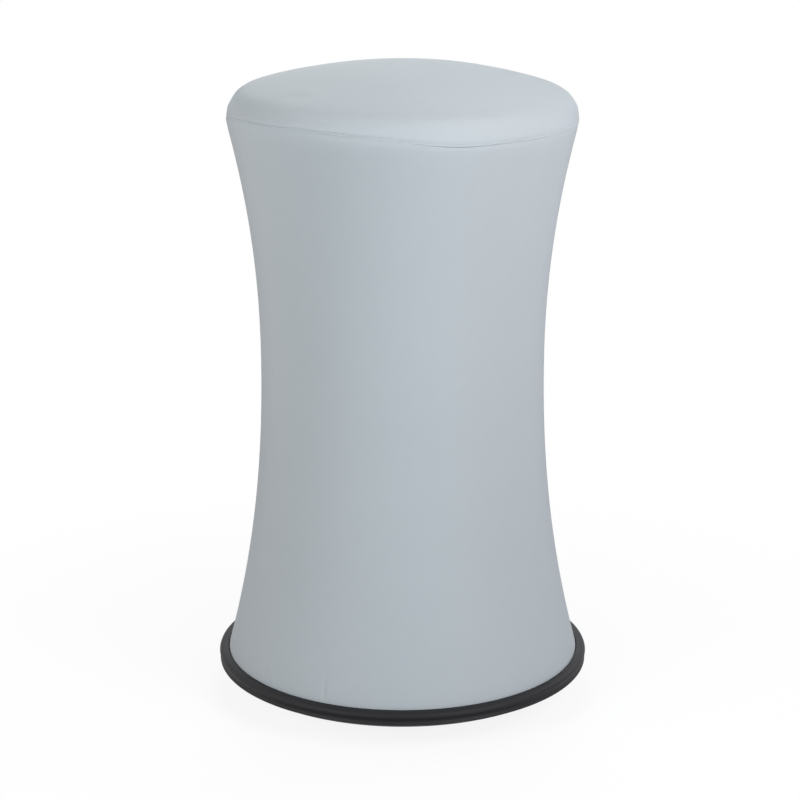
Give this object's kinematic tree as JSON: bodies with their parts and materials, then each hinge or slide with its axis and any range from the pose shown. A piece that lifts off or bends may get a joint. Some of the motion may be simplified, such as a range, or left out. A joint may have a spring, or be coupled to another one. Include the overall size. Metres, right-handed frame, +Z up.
{
  "type": "wobble stool",
  "caption": "Round height-adjustable wobble stool with a domed padded seat, an hourglass stretch sleeve and a weighted convex rocking base.",
  "frame": {"origin": "on the floor under the centre of the base, at the middle of the flat part of the sole", "axes": "+Z up along the gas lift; -Y towards the viewer of the picture; +X towards the release lever"},
  "size_m": [0.35, 0.35, 0.5908],
  "materials": {
    "fabric": "matte",
    "foam": "matte",
    "cord": "matte",
    "rubber": "matte",
    "moulded_base": "matte",
    "acetal": "satin",
    "ballast": "matte",
    "black_steel": "satin",
    "bright_steel": "satin",
    "chrome": "polished",
    "plywood": "satin"
  },
  "bodies": {
    "base": {"sole_pad": "rubber", "tread_ring": "rubber", "rocker_shell": "moulded_base", "ballast_weight_1": "ballast", "ballast_weight_2": "ballast", "ballast_weight_3": "ballast", "ballast_weight_4": "ballast", "ballast_screw_1": "bright_steel", "ballast_screw_2": "bright_steel", "ballast_screw_3": "bright_steel", "ballast_screw_4": "bright_steel", "column_socket": "black_steel", "socket_bolt_1": "bright_steel", "socket_bolt_2": "bright_steel", "socket_bolt_3": "bright_steel", "socket_bolt_4": "bright_steel", "column_tube": "black_steel", "guide_bush": "acetal", "bearing_lower_race": "bright_steel"},
    "swivel": {"ball_cage": "bright_steel", "bearing_upper_race": "bright_steel", "piston_rod": "chrome", "rod_clip": "bright_steel", "rubber_buffer": "rubber", "piston": "acetal", "piston_nut": "bright_steel", "hem_ring": "acetal", "hem_drawcord": "cord", "sleeve": "fabric"},
    "seat": {"pressure_tube": "chrome", "tube_gland": "acetal", "lift_housing": "black_steel", "lever_pivot_pin": "bright_steel", "seat_plate": "black_steel", "plate_screw_1": "bright_steel", "plate_screw_2": "bright_steel", "plate_screw_3": "bright_steel", "plate_screw_4": "bright_steel", "tee_nut_1": "bright_steel", "tee_nut_2": "bright_steel", "tee_nut_3": "bright_steel", "tee_nut_4": "bright_steel", "seat_board": "plywood", "seat_foam": "foam", "seat_cover": "fabric", "seat_seam": "fabric"},
    "lever": {"release_lever": "bright_steel", "lever_paddle": "moulded_base"},
    "valve_pin": {"release_pin": "bright_steel"}
  },
  "joints": [
    {"name": "seat_swivel", "type": "hinge", "parent": "base", "child": "swivel", "pos_m": [0, 0, 0.05], "axis": [0, 0, 1], "continuous": true},
    {"name": "seat_height", "type": "slide", "parent": "swivel", "child": "seat", "axis": [0, 0, 1], "range_m": [0, 0.2], "deforming": ["sleeve"]},
    {"name": "lever_lift", "type": "hinge", "parent": "seat", "child": "lever", "pos_m": [0.038, 0, 0.5255], "axis": [0, -1, 0], "range_deg": [0, 5], "stiffness_Nm_per_rad": 2, "springref_deg": -5.73},
    {"name": "valve_pin_press", "type": "slide", "parent": "seat", "child": "valve_pin", "axis": [0, 0, -1], "range_m": [0, 0.0034]}
  ],
  "couplings": [
    {"joint": "valve_pin_press", "follows": "lever_lift", "m_per_rad": 0.038}
  ]
}
